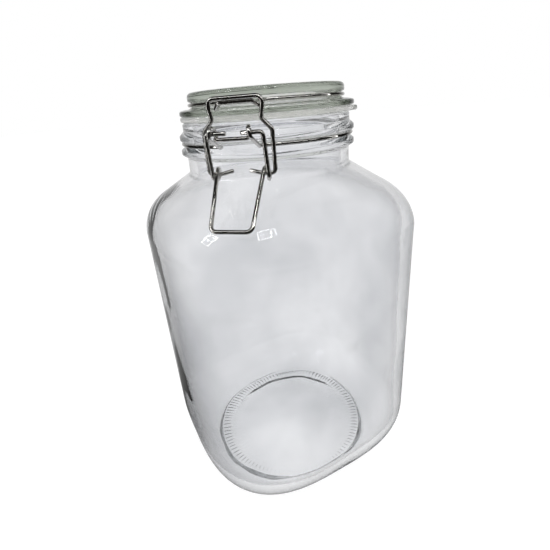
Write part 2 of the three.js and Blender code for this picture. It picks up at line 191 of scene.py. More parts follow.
LID_WIRE_REAR_X = 13.2
LID_WIRE_PIN_END_X = 4.5

# Lid and gasket; the tab's foot and shoulder are shares of half its width.
LID_SEGMENTS = 144
LID_RIM_RADIUS = 44.2
LID_FLANGE_RADIUS = 49.5
LID_FLANGE_THICKNESS = 2.9
LID_STEP_RADIUS = 46
LID_STEP_DROP = 2.1
LID_GROOVE_BOTTOM = 2
LID_GROOVE_TOP = 1.9
LID_PLUG_RADIUS = 41.6
PLUG_INNER_RADIUS = 37.2
PLUG_BASE_HEIGHT = 224.2
HOLLOW_SIDE_RADIUS = 35
HOLLOW_SIDE_HEIGHT = 229.4
HOLLOW_EDGE_RADIUS = 24
HOLLOW_EDGE_HEIGHT = 232.2
HOLLOW_MIDDLE_HEIGHT = 232.6
RECESS_OUTER_RADIUS = 36.5
RECESS_INNER_RADIUS = 33.5
RECESS_DEPTH = 1.9
RECESS_STEPS = 8
GASKET_SEGMENTS = 240
GASKET_OUTER_RADIUS = 49.4
GASKET_THICKNESS = 2.5
GASKET_PLUG_GAP = 0.4
TAB_ANGLE = math.radians(3)
TAB_WIDTH = 12
TAB_FOOT = 1.25
TAB_SHOULDER = 0.4

# ---- Places that the frame gives -----------------------------------------------------------------


def pivot(joint_name):
    """Where a joint turns, as (distance out from the jar's axis, height), in millimetres."""
    joint = next(j for j in frame["joints"] if j["name"] == joint_name)
    return abs(joint["pos_m"][1]) / MM, joint["pos_m"][2] / MM


def top_of(node):
    """The height of a CAD node's top, in millimetres."""
    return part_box(node)[1].z / MM


LEVER_PIVOT = pivot("lever_pivot")
LINK_PIVOT = pivot("link_pivot")
LID_HINGE = pivot("lid_hinge")
RIM_HEIGHT = top_of("jar_body")
LID_TOP_HEIGHT = top_of("lid")
GASKET_BASE = RIM_HEIGHT + GAP
FLANGE_BASE = GASKET_BASE + GASKET_THICKNESS + GAP
NECK_WIRE_HEIGHT = RIM_HEIGHT - NECK_WIRE_DROP
LID_WIRE_HEIGHT = LID_TOP_HEIGHT - LID_WIRE_DROP
LINK_BAR = (-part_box("bail_link")[0].y / MM - THICK_WIRE_RADIUS, top_of("bail_link") - THICK_WIRE_RADIUS)
HANDLE_BAR = (
    -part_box("lever")[0].y / MM - THICK_WIRE_RADIUS,
    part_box("lever")[0].z / MM + THICK_WIRE_RADIUS,
)
LID_SIDE_PLAY = (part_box("lid")[0].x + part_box("lid")[1].x) / 2 / MM
TAB_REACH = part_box("gasket")[1].x / MM - LID_SIDE_PLAY

# ---- Corners and bends ---------------------------------------------------------------------------

# A corner is a point and the radius of its bend, in millimetres; a bend of 0 keeps it sharp.


def bend_points(before, point, bend, after, step):
    """The points of one corner rounded by a bend of that radius."""
    if bend == 0:
        return [point]
    back = (before - point).normalized()
    ahead = (after - point).normalized()
    opening = back.angle(ahead)
    turn = math.pi - opening
    centre = point + (back + ahead).normalized() * bend / math.sin(opening / 2)
    start = point + back * bend / math.tan(opening / 2) - centre
    axis = ahead.cross(back).normalized()
    steps = max(math.ceil(turn / step), 1)
    return [centre + Matrix.Rotation(turn * i / steps, 3, axis) @ start for i in range(steps + 1)]


def bent(corners, step=BEND_STEP):
    """Points along (point, bend) corners; the first and the last are kept sharp."""
    points = [corners[0][0]]
    for before, (point, bend), after in zip(corners, corners[1:], corners[2:]):
        points += bend_points(before[0], point, bend, after[0], step)
    return points + [corners[-1][0]]


def outline(corners):
    """A profile of (radius, height, bend) corners as (radius, height) points."""
    flat = [(Vector((radius, 0, height)), bend) for radius, height, bend in corners]
    return [(point.x, point.z) for point in bent(flat, PROFILE_STEP)]


def arc(centre_radius, centre_height, radius, start, end, steps):
    """Points of an arc in the (radius, height) plane; angle 0 points away from the axis."""
    angles = [start + (end - start) * i / steps for i in range(steps + 1)]
    return [
        (centre_radius + radius * math.cos(a), centre_height + radius * math.sin(a)) for a in angles
    ]


def spread(start, end, steps):
    """Points evenly along a straight stretch of a profile, both ends left out."""
    return [
        tuple(a + (b - a) * i / steps for a, b in zip(start, end)) for i in range(1, steps)
    ]


def squared(points, start, end):
    """Gives a run of points exponents that go evenly from one value to another."""
    last = max(len(points) - 1, 1)
    return [(*point, start + (end - start) * i / last) for i, point in enumerate(points)]


# ---- Meshes --------------------------------------------------------------------------------------


def make_object(name, vertices, faces, smooth=True):
    """A mesh object from points in millimetres."""
    mesh = bpy.data.meshes.new(name)
    mesh.from_pydata([tuple(c * MM for c in v) for v in vertices], [], faces)
    mesh.update()
    for polygon in mesh.polygons:
        polygon.use_smooth = smooth
    made = bpy.data.objects.new(name, mesh)
    bpy.context.scene.collection.objects.link(made)
    return made


def reach(angle_from_corner, exponent):
    """How far out a squared section reaches at an angle from its corner, for a half-width of 1."""
    angle = angle_from_corner + math.pi / 4
    total = abs(math.cos(angle)) ** exponent + abs(math.sin(angle)) ** exponent
    return total ** (-1 / exponent)


def ring(level, count, turn):
    """One ring of points round the axis; angle 0 is the front, and no exponent means a circle."""
    half_width, height, exponent = (*level, CIRCLE)[:3]
    points = []
    for i in range(count):
        angle = FULL_TURN * i / count
        radius = half_width * reach(angle - turn, exponent)
        points.append(Vector((radius * math.sin(angle), -radius * math.cos(angle), height)))
    return points


def stitch(lower, upper):
    """Faces between two rings of indices; one may have one point, or a multiple of the other's."""
    count = min(len(lower), len(upper))
    if count == 1:
        pole, rim = (lower[0], upper) if len(lower) == 1 else (upper[0], lower)
        flipped = len(upper) == 1
        pairs = zip(rim, rim[1:] + rim[:1])
        return [(pole, a, b) if flipped else (pole, b, a) for a, b in pairs]
    low_step = len(lower) // count
    high_step = len(upper) // count
    faces = []
    for i in range(count):
        low = [lower[(i * low_step + k) % len(lower)] for k in range(low_step + 1)]
        high = [upper[(i * high_step + k) % len(upper)] for k in range(high_step + 1)]
        faces.append((*low, *reversed(high)))
    return faces


def levelled_object(name, levels, segments, turn=0, counts=None, shape=None):
    """A closed body of levels (half-width, height, exponent) round the axis, poles included.

    Counts gives the levels that have another number of points, and shape moves each point.
    """
    vertices = []
    rings = []
    for number, level in enumerate(levels):
        at_pole = level[0] == 0
        count = 1 if at_pole else (counts or {}).get(number, segments)
        points = ring(level, count, turn)
        if shape:
            points = [shape(number, i / count, p) for i, p in enumerate(points)]
        rings.append(list(range(len(vertices), len(vertices) + count)))
        vertices += points
    faces = [face for a, b in zip(rings, rings[1:]) for face in stitch(a, b)]
    if len(rings[0]) > 1:
        faces += stitch(rings[-1], rings[0])
    return make_object(name, vertices, faces)


def wire_object(name, points, radius):
    """A round wire along a list of points, with cut ends whose edges are broken a little."""
    points = [
        p for i, p in enumerate(points)
        if i == 0 or (p - points[i - 1]).length > SHORTEST_STEP
    ]
    tangents = []
    for i in range(len(points)):
        before = points[max(i - 1, 0)]
        after = points[min(i + 1, len(points) - 1)]
        arriving = (points[i] - before).normalized()
        leaving = (after - points[i]).normalized()
        tangents.append((arriving + leaving).normalized())
    normal = tangents[0].orthogonal().normalized()
    sections = []
    edge = radius * CUT_EDGE_SHARE
    for i, (point, tangent) in enumerate(zip(points, tangents)):
        if i:
            turn = tangents[i - 1].rotation_difference(tangent)
            normal = (turn @ normal).normalized()
        side = tangent.cross(normal)
        at_end = i in (0, len(points) - 1)
        inward = tangent if i == 0 else -tangent
        if i == 0:
            sections.append((point, normal, side, radius - edge))
        sections.append((point + inward * edge if at_end else point, normal, side, radius))
        if i == len(points) - 1:
            sections.append((point, normal, side, radius - edge))
    vertices = []
    rings = []
    lengths = []
    travelled = 0
    previous = sections[0][0]
    for centre, normal, side, section_radius in sections:
        travelled += (centre - previous).length
        previous = centre
        lengths.append(travelled)
        rings.append(list(range(len(vertices), len(vertices) + WIRE_SIDES)))
        for k in range(WIRE_SIDES):
            angle = FULL_TURN * k / WIRE_SIDES
            offset = (normal * math.cos(angle) + side * math.sin(angle)) * section_radius
            vertices.append(centre + offset)
    faces = [tuple(reversed(rings[0]))]
    faces += [face for a, b in zip(rings, rings[1:]) for face in stitch(a, b)]
    faces.append(tuple(rings[-1]))
    made = make_object(name, vertices, faces)
    add_wire_uv(made.data, lengths)
    return made


def add_wire_uv(mesh, lengths):
    """U runs once round the wire, and V along it, in metres."""
    layer = mesh.uv_layers.new(name="along_wire")
    for polygon in mesh.polygons:
        columns = [mesh.loops[k].vertex_index % WIRE_SIDES for k in polygon.loop_indices]
        wraps = max(columns) - min(columns) == WIRE_SIDES - 1 and len(columns) == 4
        for k, column in zip(polygon.loop_indices, columns):
            around = WIRE_SIDES if wraps and column == 0 else column
            section = mesh.loops[k].vertex_index // WIRE_SIDES
            layer.data[k].uv = (around / WIRE_SIDES, lengths[section] * MM)


# ---- The clamp's and the hinge's own plane -------------------------------------------------------


def at(x, out, height, side=FRONT):
    """A point of the clamp, or of the hinge at the back."""
    return Vector((x, side * out, height))


def loop(centre, radius, start, end, start_x, end_x, side=FRONT):
    """One loop of wire round a pivot, between two headings measured from out towards up."""
    steps = math.ceil(abs(end - start) / BEND_STEP)
    sense = math.copysign(1, end - start)
    corners = []
    for i in range(steps + 1):
        share = i / steps
        heading = start + (end - start) * share
        out = centre[0] + sense * radius * math.sin(heading)
        height = centre[1] - sense * radius * math.cos(heading)
        corners.append((at(start_x + (end_x - start_x) * share, out, height, side), 0))
    return corners


def tangent_heading(point, centre, radius, arriving):
    """The heading of a straight run between a point and a loop that it meets as a tangent."""
    out, up = centre[0] - point[0], centre[1] - point[1]
    direct = math.atan2(up, out)
    offset = math.asin(radius / math.hypot(out, up))
    return direct + offset if arriving else direct - math.pi - offset


def groove(radius, height, start, end):
    """A wire lying in a groove, from one angle to another, both measured from the front."""
    steps = round((end - start) / GROOVE_STEP)
    corners = []
    for i in range(steps + 1):
        angle = start + (end - start) * i / steps
        corners.append((Vector((radius * math.sin(angle), -radius * math.cos(angle), height)), 0))
    return corners


def groove_exit(x, radius):
    """Where a wire at x leaves its groove: how far out that is, and the angle from the middle."""
    return math.sqrt(radius**2 - x**2), math.asin(x / radius)


def both_halves(half):
    """Points from the middle plane to a tip, with their mirror image before them."""
    other = [Vector((-p.x, p.y, p.z)) for p in half[1:]]
    return other[::-1] + half


# ---- The jar -------------------------------------------------------------------------------------


def jar_body():
    """One pressed-glass vessel: a closed profile that runs up the outside and down the inside."""
    heel_centre = BASE_HALF_WIDTH - HEEL_RADIUS
    heel_start = math.asin(FOOT_HEIGHT / HEEL_RADIUS - 1)
    heel = arc(heel_centre, HEEL_RADIUS, HEEL_RADIUS, heel_start, 0, HEEL_STEPS)
    shoulder_centre = SHOULDER_HALF_WIDTH - SHOULDER_RADIUS
    shoulder = arc(
        shoulder_centre, SHOULDER_HEIGHT, SHOULDER_RADIUS, 0, SHOULDER_TURN, SHOULDER_STEPS
    )
    side = spread(heel[-1], shoulder[0], SIDE_STEPS)

    underside = [
        (r, PUSH_UP_HEIGHT - PUSH_UP_FALL * (1 - math.cos(math.pi * r / FOOT_STEP_RADIUS)) / 2)
        for r in range(0, FOOT_STEP_RADIUS + 1, UNDERSIDE_STEP)
    ]
    stippled = [
        (FOOT_INNER_RADIUS, 0),
        (STIPPLE_START_RADIUS, 0),
        ((FOOT_INNER_RADIUS + FOOT_OUTER_RADIUS) / 2, 0),
        (STIPPLE_END_RADIUS, 0),
        (FOOT_OUTER_RADIUS, 0),
    ]
    foot_side = [
        (FOOT_OUTER_RADIUS + FOOT_BEVEL, FOOT_BEVEL),
        (FOOT_OUTER_RADIUS + FOOT_FLARE, FOOT_HEIGHT / 2),
    ]

    lower_bead = RIM_HEIGHT - LOWER_BEAD_DROP
    upper_bead = RIM_HEIGHT - UPPER_BEAD_DROP
    neck = outline([
        (*shoulder[-1], 0),
        (NECK_RADIUS, NECK_BASE_HEIGHT, 3),
        (NECK_RADIUS, lower_bead - LOWER_BEAD_START, 0.8),
        (BEAD_RADIUS, lower_bead - LOWER_BEAD_BOTTOM, BEAD_BEND),
        (BEAD_RADIUS, lower_bead + LOWER_BEAD_TOP, BEAD_BEND),
        (NECK_RADIUS, NECK_WIRE_HEIGHT - NECK_GROOVE_HALF_HEIGHT, 0.5),
        (NECK_RADIUS, NECK_WIRE_HEIGHT + NECK_GROOVE_HALF_HEIGHT, 0.5),
        (BEAD_RADIUS, upper_bead - UPPER_BEAD_BOTTOM, BEAD_BEND),
        (BEAD_RADIUS, upper_bead + UPPER_BEAD_TOP, BEAD_BEND),
        (RIM_RADIUS, upper_bead + UPPER_BEAD_END, BEAD_BEND),
        (RIM_RADIUS, RIM_HEIGHT, RIM_BEND),
        (MOUTH_RADIUS, RIM_HEIGHT, RIM_BEND),
        (MOUTH_RADIUS, NECK_BASE_HEIGHT + THROAT_RISE, 0),
    ])[1:]
    cone = spread(shoulder[-1], neck[0], CONE_STEPS)

    inner_shoulder_radius = SHOULDER_RADIUS - WALL
    inner_shoulder = arc(
        shoulder_centre,
        SHOULDER_HEIGHT,
        inner_shoulder_radius,
        SHOULDER_TURN,
        0,
        INNER_SHOULDER_STEPS,
    )
    inner_throat = outline([
        (MOUTH_RADIUS, NECK_BASE_HEIGHT + THROAT_RISE, 0),
        (MOUTH_RADIUS, NECK_BASE_HEIGHT - THROAT_DROP, THROAT_BEND),
        (*inner_shoulder[0], 0),
    ])[1:-1]
    inner_cone = spread(inner_throat[-1], inner_shoulder[0], CONE_STEPS)
    inner_heel_radius = HEEL_RADIUS - WALL
    inner_heel_end = math.asin((FLOOR_HEIGHT - HEEL_RADIUS) / inner_heel_radius)
    inner_heel = arc(
        heel_centre, HEEL_RADIUS, inner_heel_radius, 0, inner_heel_end, INNER_HEEL_STEPS
    )
    inner_side = spread(inner_shoulder[-1], inner_heel[0], INNER_SIDE_STEPS)
    floor = [
        (r, FLOOR_HEIGHT - FLOOR_DIP + FLOOR_SWELL * math.cos(r / FLOOR_SWELL_LENGTH))
        for r in range(FLOOR_RADIUS, 0, -FLOOR_STEP)
    ]

    levels = [
        *underside,
        *stippled,
        *foot_side,
        *squared(heel, HEEL_START_EXPONENT, HEEL_END_EXPONENT),
        *squared(side, HEEL_END_EXPONENT, WALL_EXPONENT),
        *squared(shoulder, WALL_EXPONENT, SHOULDER_END_EXPONENT),
        *squared(cone, SHOULDER_END_EXPONENT - EXPONENT_STEP, CIRCLE + EXPONENT_STEP),
        *neck,
    ]
    first_inner = len(levels)
    levels += [
        *inner_throat,
        *squared(inner_cone, CIRCLE + EXPONENT_STEP, SHOULDER_END_EXPONENT - 2 * EXPONENT_STEP),
        *squared(inner_shoulder, SHOULDER_END_EXPONENT - EXPONENT_STEP, INNER_EXPONENT),
        *squared(inner_side, INNER_EXPONENT, HEEL_END_EXPONENT),
        *squared(inner_heel, HEEL_END_EXPONENT, HEEL_START_EXPONENT),
        *floor,
        (0, FLOOR_HEIGHT - FLOOR_DIP + FLOOR_SWELL),
    ]
    fine = {
        number: GLASS_SEGMENTS * STIPPLE_SPLIT
        for number, level in enumerate(levels)
        if level in stippled
    }

    def shape(number, share, point):
        """Presses the stipples into the foot, and makes the inner walls and floor uneven."""
        if number in fine and levels[number][0] not in (FOOT_INNER_RADIUS, FOOT_OUTER_RADIUS):
            ripple = 0.5 - 0.5 * math.cos(FULL_TURN * STIPPLE_COUNT * share)
            return point + Vector((0, 0, STIPPLE_DEPTH * ripple))
        if number < first_inner or levels[number][0] == 0:
            return point
        if levels[number] in floor:
            return point + Vector((0, 0, noise.noise(point / FLOOR_WAVE_LENGTH) * FLOOR_WAVE))
        wave = noise.noise(point / INNER_WAVE_LENGTH) * INNER_WAVE
        outward = Vector((point.x, point.y, 0)).normalized()
        return point + outward * wave

    return levelled_object("jar_glass", levels, GLASS_SEGMENTS, BODY_TURN, fine, shape)


def lid():
    """One pressed-glass lid: plug, flange, wire groove and a slab with a shallow recess."""
    wire_height = LID_WIRE_HEIGHT
    groove_floor = LID_WIRE_RADIUS - THIN_WIRE_RADIUS - GAP
    recess_floor = LID_TOP_HEIGHT - RECESS_DEPTH
    levels = outline([
        (0, HOLLOW_MIDDLE_HEIGHT, 0),
        (HOLLOW_EDGE_RADIUS, HOLLOW_EDGE_HEIGHT, 8),
        (HOLLOW_SIDE_RADIUS, HOLLOW_SIDE_HEIGHT, 4),
        (PLUG_INNER_RADIUS, PLUG_BASE_HEIGHT, 1.2),
        (LID_PLUG_RADIUS, PLUG_BASE_HEIGHT, 1.3),
        (LID_PLUG_RADIUS, FLANGE_BASE, 0.5),
        (LID_FLANGE_RADIUS, FLANGE_BASE, 1.2),
        (LID_FLANGE_RADIUS, FLANGE_BASE + LID_FLANGE_THICKNESS, 1.3),
        (LID_STEP_RADIUS, wire_height - LID_STEP_DROP, 1.5),
        (LID_RIM_RADIUS, wire_height - LID_GROOVE_BOTTOM, 0.6),
        (groove_floor, wire_height - THIN_WIRE_RADIUS, 0.4),
        (groove_floor, wire_height + THIN_WIRE_RADIUS, 0.4),
        (LID_RIM_RADIUS, wire_height + LID_GROOVE_TOP, 0.7),
        (LID_RIM_RADIUS, LID_TOP_HEIGHT, 2.4),
        (RECESS_OUTER_RADIUS, LID_TOP_HEIGHT, 1.2),
        (RECESS_INNER_RADIUS, recess_floor, 1.2),
        (0, recess_floor, 0),
    ])
    extra = spread(levels[-2], levels[-1], RECESS_STEPS)
    return levelled_object("lid_glass", levels[:-1] + extra + levels[-1:], LID_SEGMENTS)


def gasket():
    """The ring on the lid's plug, drawn out into a tab that breaks its seal."""
    inner = LID_PLUG_RADIUS + GASKET_PLUG_GAP
    top = GASKET_BASE + GASKET_THICKNESS
    middle = (GASKET_BASE + top) / 2
    levels = outline([
        (inner, middle, 0),
        (inner, GASKET_BASE, 0.5),
        (GASKET_OUTER_RADIUS, GASKET_BASE, 0.7),
        (GASKET_OUTER_RADIUS, top, 0.7),
        (inner, top, 0.5),
        (inner, middle, 0),
    ])[:-1]
    tab_half_angle = TAB_WIDTH / 2 / GASKET_OUTER_RADIUS
    middle_radius = (inner + GASKET_OUTER_RADIUS) / 2

    def shape(_, share, point):
        """Draws the rim out to the tab, whose sides rise softly."""
        angle = FULL_TURN * share - math.pi / 2 - TAB_ANGLE
        across = math.remainder(angle, FULL_TURN) / tab_half_angle
        radius = math.hypot(point.x, point.y)
        if abs(across) > TAB_FOOT or radius < middle_radius:
            return point
        rise = min(max((TAB_FOOT - abs(across)) / TAB_SHOULDER, 0), 1)
        rise = rise * rise * (3 - 2 * rise)
        share_out = (radius - middle_radius) / (GASKET_OUTER_RADIUS - middle_radius)
        stretch = 1 + rise * share_out * (TAB_REACH - GASKET_OUTER_RADIUS) / radius
        return Vector((point.x * stretch, point.y * stretch, point.z))

    return levelled_object("gasket_ring", levels, GASKET_SEGMENTS, shape=shape)


# ---- The wires -----------------------------------------------------------------------------------


def eye_and_arm(centre, radius, side):
    """The neck wire's eye, from inside to outside, and its arm as far as the groove."""
    out, _ = groove_exit(EYE_OUTER_X, NECK_WIRE_RADIUS)
    knee = (out + ARM_KNEE_OUT, NECK_WIRE_HEIGHT)
    leaving = tangent_heading(knee, centre, radius, False)
    pitch = 2 * THIN_WIRE_RADIUS + GAP
    start = leaving + EYE_WRAP
    return [
        *loop(centre, radius, start, leaving, EYE_OUTER_X - pitch, EYE_OUTER_X, side),
        (at(EYE_OUTER_X, *knee, side), ARM_KNEE_BEND),
        (at(EYE_OUTER_X, out, NECK_WIRE_HEIGHT, side), 2),
    ]


def neck_wire():
    """One wire in the neck's groove, with two eyes for the lever and two for the hinge."""
    front_eye = THICK_WIRE_RADIUS + EYE_CLEARANCE + THIN_WIRE_RADIUS
    back_eye = THIN_WIRE_RADIUS + EYE_CLEARANCE + THIN_WIRE_RADIUS
    bridge_height = LEVER_PIVOT[1] - front_eye
    bridge_x = EYE_OUTER_X - 2 * THIN_WIRE_RADIUS - GAP
    start = groove_exit(EYE_OUTER_X, NECK_WIRE_RADIUS)[1] + GROOVE_STEP
    half = bent([
        (at(0, LEVER_PIVOT[0], bridge_height), 0),
        (at(bridge_x, LEVER_PIVOT[0], bridge_height), 0.9),
        *eye_and_arm(LEVER_PIVOT, front_eye, FRONT),
        *groove(NECK_WIRE_RADIUS, NECK_WIRE_HEIGHT, start, math.pi - start),
        *reversed(eye_and_arm(LID_HINGE, back_eye, BACK)),
    ])
    return wire_object("neck_wire_bent", both_halves(half), THIN_WIRE_RADIUS)


def lid_wire():
    """One wire in the lid's groove, with the bridge for the link and the hinge's two pins."""
    height = LID_WIRE_HEIGHT
    front_out, front_angle = groove_exit(CURL_X, LID_WIRE_RADIUS)
    rear_out, rear_angle = groove_exit(LID_WIRE_REAR_X, LID_WIRE_RADIUS)
    bridge_height = LID_TOP_HEIGHT - BRIDGE_DROP
    curl_height = LID_TOP_HEIGHT - CURL_DROP
    hinge_out, hinge_height = LID_HINGE
    half = bent([
        (at(0, BRIDGE_OUT, bridge_height), 0),
        (at(BRIDGE_X, BRIDGE_OUT, bridge_height), CURL_BEND),
        (at(CURL_X, BRIDGE_OUT - CURL_START, curl_height), CURL_BEND),
        (at(CURL_X, BRIDGE_OUT - CURL_END, curl_height), 1.2),
        (at(CURL_X, front_out + ARM_START, height), 1.8),
        (at(CURL_X, front_out, height), 1.2),
        *groove(
            LID_WIRE_RADIUS, height, front_angle + GROOVE_STEP, math.pi - rear_angle - GROOVE_STEP
        ),
        (at(LID_WIRE_REAR_X, rear_out, height, BACK), 1.8),
        (at(LID_WIRE_REAR_X, hinge_out - HINGE_KNEE_IN, height, BACK), 3),
        (at(LID_WIRE_REAR_X, hinge_out, hinge_height, BACK), 1.6),
        (at(LID_WIRE_PIN_END_X, hinge_out, hinge_height, BACK), 0),
    ])
    return wire_object("lid_wire_bent", both_halves(half), THIN_WIRE_RADIUS)


def lever():
    """One thick wire: the handle, a coil on each side for the link, and two legs with pins."""
    coil_radius = THICK_WIRE_RADIUS + COIL_CLEARANCE + THICK_WIRE_RADIUS
    coil_pitch = 2 * THICK_WIRE_RADIUS + GAP
    leg = tangent_heading(LEVER_PIVOT, LINK_PIVOT, coil_radius, True)
    handle = tangent_heading(HANDLE_BAR, LINK_PIVOT, coil_radius, False)
    inner_x = LEVER_COIL_X - coil_pitch
    coil = loop(LINK_PIVOT, coil_radius, leg, handle - FULL_TURN, LEVER_COIL_X, inner_x)
    half = bent([
        (at(0, *HANDLE_BAR), 0),
        (at(HANDLE_X, *HANDLE_BAR), BAR_BEND),
        *reversed(coil),
        (at(LEVER_TOP_X, *LEVER_PIVOT), 1.8),
        (at(LEVER_PIN_END_X, *LEVER_PIVOT), 0),
    ])
    return wire_object("lever_bent", both_halves(half), THICK_WIRE_RADIUS)


def bail_link():
    """One thick wire: the bar over the bridge, two waisted legs and a pin in each coil."""
    foot = at(0, *LINK_PIVOT)
    up = (at(0, *LINK_BAR) - foot).normalized()

    def along(x, distance):
        return foot + up * distance + Vector((x, 0, 0))

    pin_bend_x = LEVER_COIL_X - 3 * THICK_WIRE_RADIUS - GAP
    half = bent([
        (at(0, *LINK_BAR), 0),
        (at(LINK_TOP_X, *LINK_BAR), BAR_BEND),
        (along(LINK_WAIST_X, LINK_JOG_END), LINK_JOG_BEND),
        (along(LINK_FOOT_X, LINK_JOG_START), LINK_JOG_BEND),
        (at(LINK_FOOT_X, *LINK_PIVOT), 2.1),
        (at(pin_bend_x, *LINK_PIVOT), 3),
        (at(LINK_PIN_END_X, LINK_PIVOT[0], LINK_PIVOT[1] + LINK_PIN_RISE), 0),
    ])
    return wire_object("bail_link_bent", both_halves(half), THICK_WIRE_RADIUS)


# ---- Materials -----------------------------------------------------------------------------------

WHITE = (1, 1, 1)
GLASS_INDEX = 1.5
RUBBER_INDEX = 1.42
SHADOW_TINT = (0.93, 0.94, 0.94)
DRAWN_LINE_SCALE = (24, 90)  # round the wire, and along it


def new_material(name):
    """A new material, with its nodes, its links and its main shader."""
    material = bpy.data.materials.new(name)
    material.use_nodes = True
    nodes = material.node_tree.nodes
    return material, nodes, material.node_tree.links, nodes["Principled BSDF"]


def add_bump(nodes, links, shader, height_socket, strength, distance):
    """Surface relief from a height; the distance is in metres."""
    bump = nodes.new("ShaderNodeBump")
    bump.inputs["Strength"].default_value = strength
    bump.inputs["Distance"].default_value = distance
    links.new(height_socket, bump.inputs["Height"])
    links.new(bump.outputs["Normal"], shader.inputs["Normal"])


def noise_node(nodes, links, coordinate, scale, detail):
    texture = nodes.new("ShaderNodeTexNoise")
    texture.inputs["Scale"].default_value = scale
    texture.inputs["Detail"].default_value = detail
    links.new(coordinate, texture.inputs["Vector"])
    return texture.outputs["Fac"]


def ramp(nodes, links, factor, low, high, start=0.35, end=0.65):
    """A colour ramp between two colours; the usual span takes the middle of a noise."""
    node = nodes.new("ShaderNodeValToRGB")
    node.color_ramp.elements[0].position = start
    node.color_ramp.elements[1].position = end
    node.color_ramp.elements[0].color = (*low, 1)
    node.color_ramp.elements[1].color = (*high, 1)
    links.new(factor, node.inputs["Fac"])
    return node.outputs["Color"]


def glass(name, thick, thin, edge, depth, density, wave_scale, wave_distance):
    """Pressed glass: a tint with soft patches of painted reflection, painted shade where it is seen
    edge on, and a slow waviness.

    Its tone goes from thick to thin in painted reflection smudges, and is multiplied by edge,
    a painted shade, where it slants away.
    Inside, light turns to the depth colour at that density; shadow rays pass almost unchanged.
    """
    material, nodes, links, shader = new_material(name)
    place = nodes.new("ShaderNodeTexCoord").outputs["Object"]
    shader.inputs["Transmission Weight"].default_value = 1
    shader.inputs["IOR"].default_value = GLASS_INDEX
    shader.inputs["Roughness"].default_value = 0
    # Painted reflection: the tint goes from thick to thin in soft noise patches, darker smudges that
    # stand in for the room mirrored in the glass, not for thicker glass.
    painted_smudge_noise = noise_node(nodes, links, place, scale=11, detail=3)
    patches = ramp(nodes, links, painted_smudge_noise, thick, thin)
    # Painted shade: the tint is multiplied by edge where the glass is seen edge on.
    slant = nodes.new("ShaderNodeLayerWeight").outputs["Facing"]
    painted_glass_tone = nodes.new("ShaderNodeVectorMath")
    painted_glass_tone.operation = "MULTIPLY"
    links.new(patches, painted_glass_tone.inputs[0])
    painted_edge_shade = ramp(nodes, links, slant, WHITE, edge, start=0.35, end=1)
    links.new(painted_edge_shade, painted_glass_tone.inputs[1])
    links.new(painted_glass_tone.outputs["Vector"], shader.inputs["Base Color"])
    inside = nodes.new("ShaderNodeVolumeAbsorption")
    inside.inputs["Color"].default_value = (*depth, 1)
    inside.inputs["Density"].default_value = density
    links.new(inside.outputs["Volume"], nodes["Material Output"].inputs["Volume"])
    wave = noise_node(nodes, links, place, wave_scale, detail=2)
    add_bump(nodes, links, shader, wave, strength=0.5, distance=wave_distance)

    clear = nodes.new("ShaderNodeBsdfTransparent")
    clear.inputs["Color"].default_value = (*SHADOW_TINT, 1)
    path = nodes.new("ShaderNodeLightPath")
    mix = nodes.new("ShaderNodeMixShader")
    links.new(path.outputs["Is Shadow Ray"], mix.inputs["Fac"])
    links.new(shader.outputs["BSDF"], mix.inputs[1])
    links.new(clear.outputs["BSDF"], mix.inputs[2])
    links.new(mix.outputs["Shader"], nodes["Material Output"].inputs["Surface"])
    return material


def steel(name):
    """Bright drawn wire: fine lines along it, and a slightly uneven polish."""
    material, nodes, links, shader = new_material(name)
    shader.inputs["Metallic"].default_value = 1
    along = nodes.new("ShaderNodeUVMap")
    along.uv_map = "along_wire"
    stretch = nodes.new("ShaderNodeMapping")
    stretch.inputs["Scale"].default_value = (*DRAWN_LINE_SCALE, 1)
    links.new(along.outputs["UV"], stretch.inputs["Vector"])
    lines = noise_node(nodes, links, stretch.outputs["Vector"], scale=1, detail=3)
    place = nodes.new("ShaderNodeTexCoord").outputs["Object"]
    patches = noise_node(nodes, links, place, scale=160, detail=3)
    colour = ramp(nodes, links, patches, low=(0.5, 0.49, 0.47), high=(0.58, 0.57, 0.55))
    links.new(colour, shader.inputs["Base Color"])
    polish = ramp(nodes, links, patches, low=(0.06,) * 3, high=(0.09,) * 3)
    links.new(polish, shader.inputs["Roughness"])
    add_bump(nodes, links, shader, lines, strength=0.03, distance=0.00001)
    return material


def clear_rubber(name):
    """Translucent soft seal: milky, satin, with a faint mottling."""
    material, nodes, links, shader = new_material(name)
    place = nodes.new("ShaderNodeTexCoord").outputs["Object"]
    mottle = noise_node(nodes, links, place, scale=220, detail=3)
    colour = ramp(nodes, links, mottle, low=(0.9, 0.9, 0.88), high=(0.97, 0.97, 0.96))
    links.new(colour, shader.inputs["Base Color"])
    shader.inputs["Roughness"].default_value = 0.22
    shader.inputs["Transmission Weight"].default_value = 0.8
    shader.inputs["IOR"].default_value = RUBBER_INDEX
    add_bump(nodes, links, shader, mottle, strength=0.2, distance=0.0001)
    return material


# ---- The pieces in place -------------------------------------------------------------------------

# In each glass, thick and thin are the two ends of its tint in painted reflection smudges, and edge is a
# painted shade where it is seen edge on.
FINISHES = {
    "body_glass": glass(
        "clear_glass",
        thick=(0.75, 0.757, 0.774),
        thin=(0.95, 0.952, 0.962),
        edge=(0.5, 0.5, 0.5),
        depth=(0.35, 0.4, 0.42),
        density=3.2,
        wave_scale=22,
        wave_distance=0.0004,
    ),
    "lid_glass": glass(
        "thick_glass",
        thick=(0.72, 0.73, 0.71),
        thin=(0.84, 0.84, 0.82),
        edge=(0.6, 0.6, 0.6),
        depth=(0.3, 0.37, 0.27),
        density=11,
        wave_scale=40,
        wave_distance=0.0003,
    ),
    "wire_steel": steel("drawn_wire"),
    "seal_rubber": clear_rubber("clear_rubber"),
}

